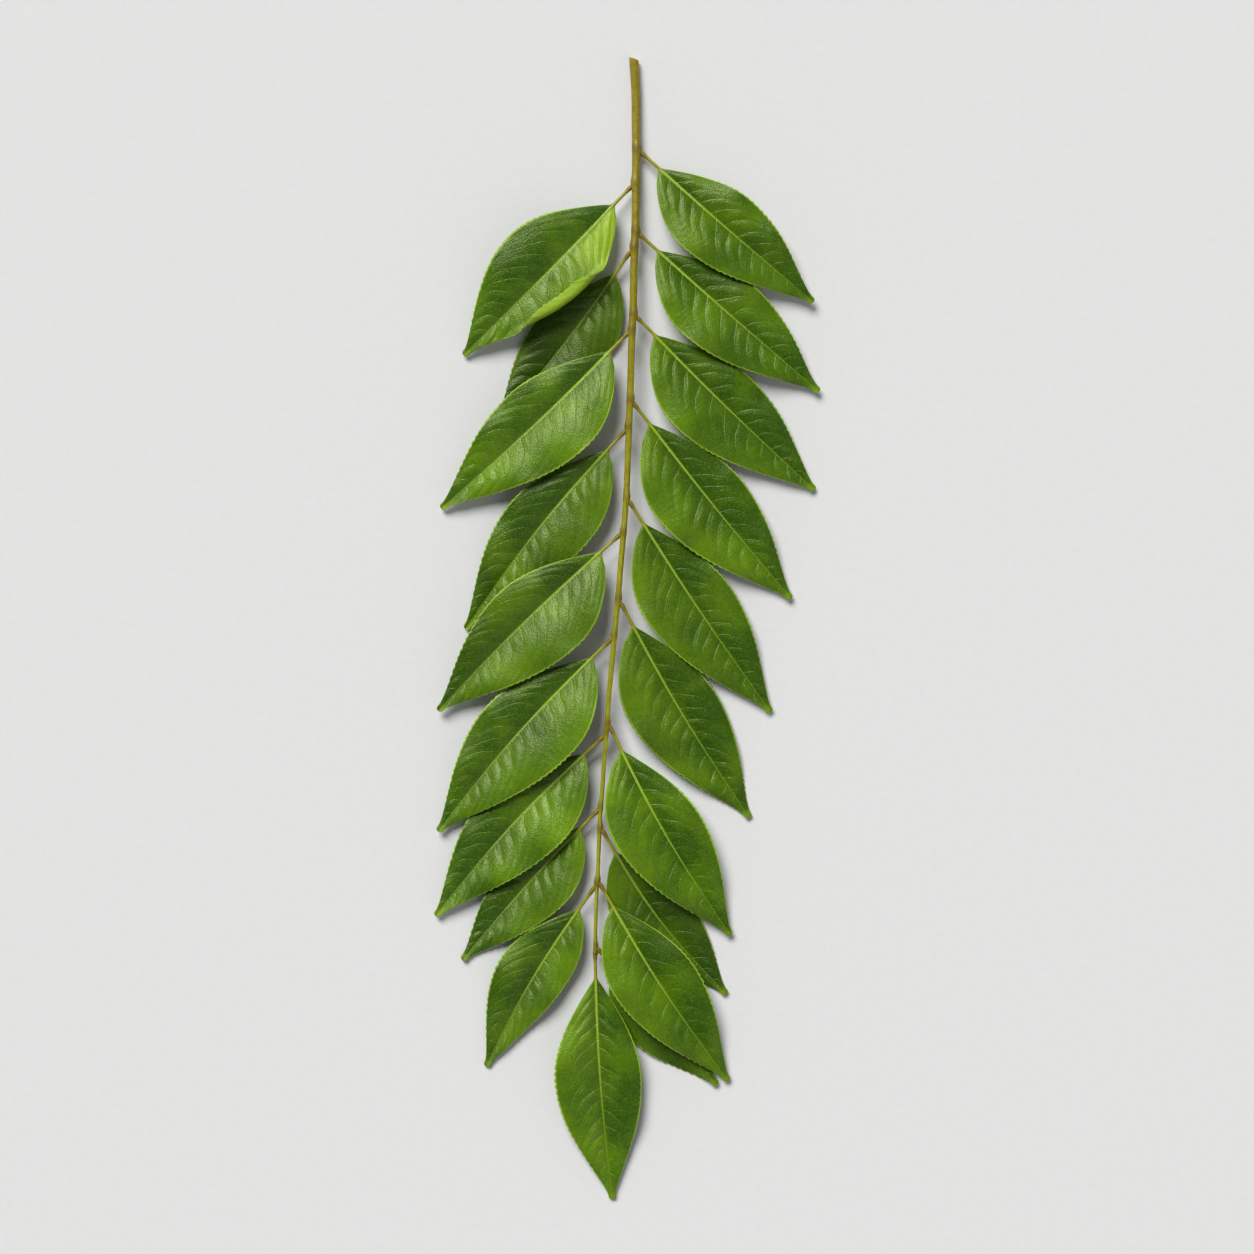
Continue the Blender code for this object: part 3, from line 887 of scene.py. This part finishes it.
class CURRYLEAF_OT_stage(bpy.types.Operator):
    """Add the surface, the soft lights and the camera"""

    bl_idname = "curry_leaf.stage"
    bl_label = "Add Stage"

    def execute(self, context):
        settings = context.scene.curry_stage
        low, high = CAD_BOX
        middle = (low + high) / 2
        self.add_floor(context, settings, low.z)
        self.add_light(context, "key", KEY_PLACE, KEY_SPREAD, settings.key_strength)
        self.add_light(context, "fill", FILL_PLACE, FILL_SPREAD, settings.fill_strength)
        context.scene.world = self.surround(settings)
        context.scene.view_settings.view_transform = "Standard"
        camera = bpy.data.cameras.new("camera")
        camera.lens = settings.lens
        camera.clip_start = CAMERA_NEAR
        camera.clip_end = CAMERA_FAR
        away = settings.frame_height * settings.lens / camera.sensor_width
        holder = bpy.data.objects.new("camera", camera)
        holder.location = (middle.x, middle.y, middle.z + away)
        context.scene.collection.objects.link(holder)
        context.scene.camera = holder
        return {"FINISHED"}

    def surround(self, settings):
        """A pale surround, brightest at the horizon and dimmer overhead."""
        world = bpy.data.worlds.new("studio")
        world.use_nodes = True
        nodes = world.node_tree.nodes
        links = world.node_tree.links
        direction = nodes.new("ShaderNodeTexCoord")
        parts = nodes.new("ShaderNodeSeparateXYZ")
        fade = nodes.new("ShaderNodeMapRange")
        fade.interpolation_type = "SMOOTHSTEP"
        fade.inputs["From Min"].default_value = SURROUND_LOW
        fade.inputs["From Max"].default_value = SURROUND_HIGH
        fade.inputs["To Min"].default_value = settings.horizon
        fade.inputs["To Max"].default_value = settings.overhead
        background = nodes["Background"]
        background.inputs["Color"].default_value = SURROUND_COLOUR
        links.new(direction.outputs["Generated"], parts.inputs[0])
        links.new(parts.outputs["Z"], fade.inputs["Value"])
        links.new(fade.outputs["Result"], background.inputs["Strength"])
        return world

    def add_floor(self, context, settings, height):
        """A wide flat surface just under the sprig."""
        shape = bmesh.new()
        bmesh.ops.create_grid(shape, x_segments=1, y_segments=1, size=FLOOR_HALF_SIZE)
        bmesh.ops.translate(shape, verts=shape.verts, vec=(0.0, 0.0, height - FLOOR_DROP))
        mesh = bpy.data.meshes.new("floor")
        shape.to_mesh(mesh)
        shape.free()
        mesh.materials.append(floor_finish(settings))
        floor = bpy.data.objects.new("floor", mesh)
        context.scene.collection.objects.link(floor)

    def add_light(self, context, name, place, spread, strength):
        """A soft light that shines from a place towards the sprig."""
        light = bpy.data.lights.new(name, "SUN")
        light.angle = spread
        light.energy = strength
        holder = bpy.data.objects.new(name, light)
        holder.location = place
        holder.rotation_euler = (-Vector(place)).to_track_quat("-Z", "Y").to_euler()
        context.scene.collection.objects.link(holder)


class CURRYLEAF_PT_panel(bpy.types.Panel):
    """The sprig's operators and settings"""

    bl_label = "Curry Leaf Sprig"
    bl_idname = "CURRYLEAF_PT_panel"
    bl_space_type = "VIEW_3D"
    bl_region_type = "UI"
    bl_category = "Curry Leaf"

    def draw(self, context):
        groups = (
            (CURRYLEAF_OT_leaflets, context.scene.curry_leaflets),
            (CURRYLEAF_OT_stalk, context.scene.curry_stalk),
            (CURRYLEAF_OT_stage, context.scene.curry_stage),
        )
        for operator, settings in groups:
            box = self.layout.box()
            box.operator(operator.bl_idname)
            for name in settings.__annotations__:
                box.prop(settings, name)


CLASSES = (
    LeafletSettings,
    StalkSettings,
    StageSettings,
    CURRYLEAF_OT_leaflets,
    CURRYLEAF_OT_stalk,
    CURRYLEAF_OT_stage,
    CURRYLEAF_PT_panel,
)


def register():
    for item in CLASSES:
        bpy.utils.register_class(item)
    bpy.types.Scene.curry_leaflets = PointerProperty(type=LeafletSettings)
    bpy.types.Scene.curry_stalk = PointerProperty(type=StalkSettings)
    bpy.types.Scene.curry_stage = PointerProperty(type=StageSettings)


def unregister():
    del bpy.types.Scene.curry_stage
    del bpy.types.Scene.curry_stalk
    del bpy.types.Scene.curry_leaflets
    for item in reversed(CLASSES):
        bpy.utils.unregister_class(item)


def main():
    register()
    bpy.ops.curry_leaf.leaflets()
    bpy.ops.curry_leaf.stalk()
    bpy.ops.curry_leaf.stage()


if __name__ == "__main__":
    main()
